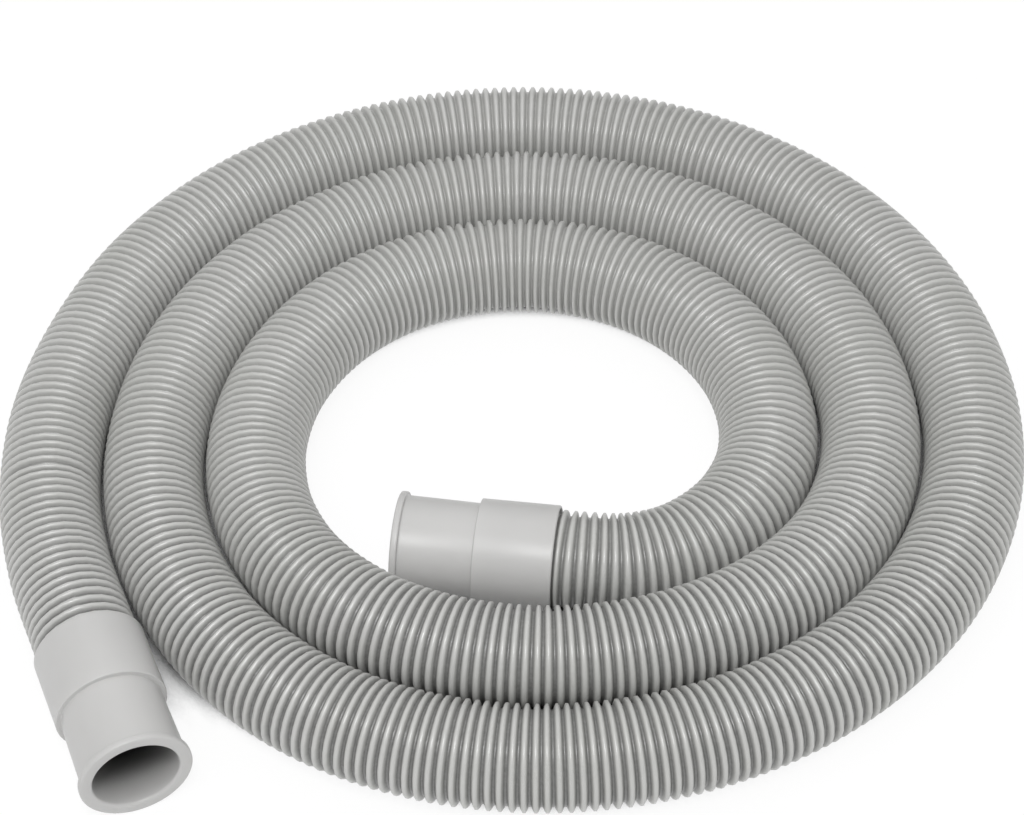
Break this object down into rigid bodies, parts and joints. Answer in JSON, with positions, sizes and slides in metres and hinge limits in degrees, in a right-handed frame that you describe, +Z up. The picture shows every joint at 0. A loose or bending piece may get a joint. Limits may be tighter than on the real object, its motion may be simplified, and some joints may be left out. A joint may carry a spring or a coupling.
{
  "type": "washing machine drain hose",
  "caption": "Corrugated drain hose coiled flat in a spiral, with a straight push-on cuff at each end, for carrying a washing machine's waste water to a standpipe.",
  "frame": {"origin": "on the floor under the middle of the footprint of the coiled hose", "axes": "+Z up from the floor, +X along the longest side of the footprint, from the outer cuff's side to the plain side; +Y away from the side where the outer cuff's mouth opens"},
  "size_m": [0.3123, 0.2882, 0.0362],
  "materials": {
    "hose_plastic": "satin light grey, blow-moulded ribs",
    "cuff_plastic": "smooth satin light grey, injection moulded"
  },
  "bodies": {
    "root": {"hose": "hose_plastic", "inner_cuff": "cuff_plastic", "outer_cuff": "cuff_plastic"}
  },
  "joints": []
}
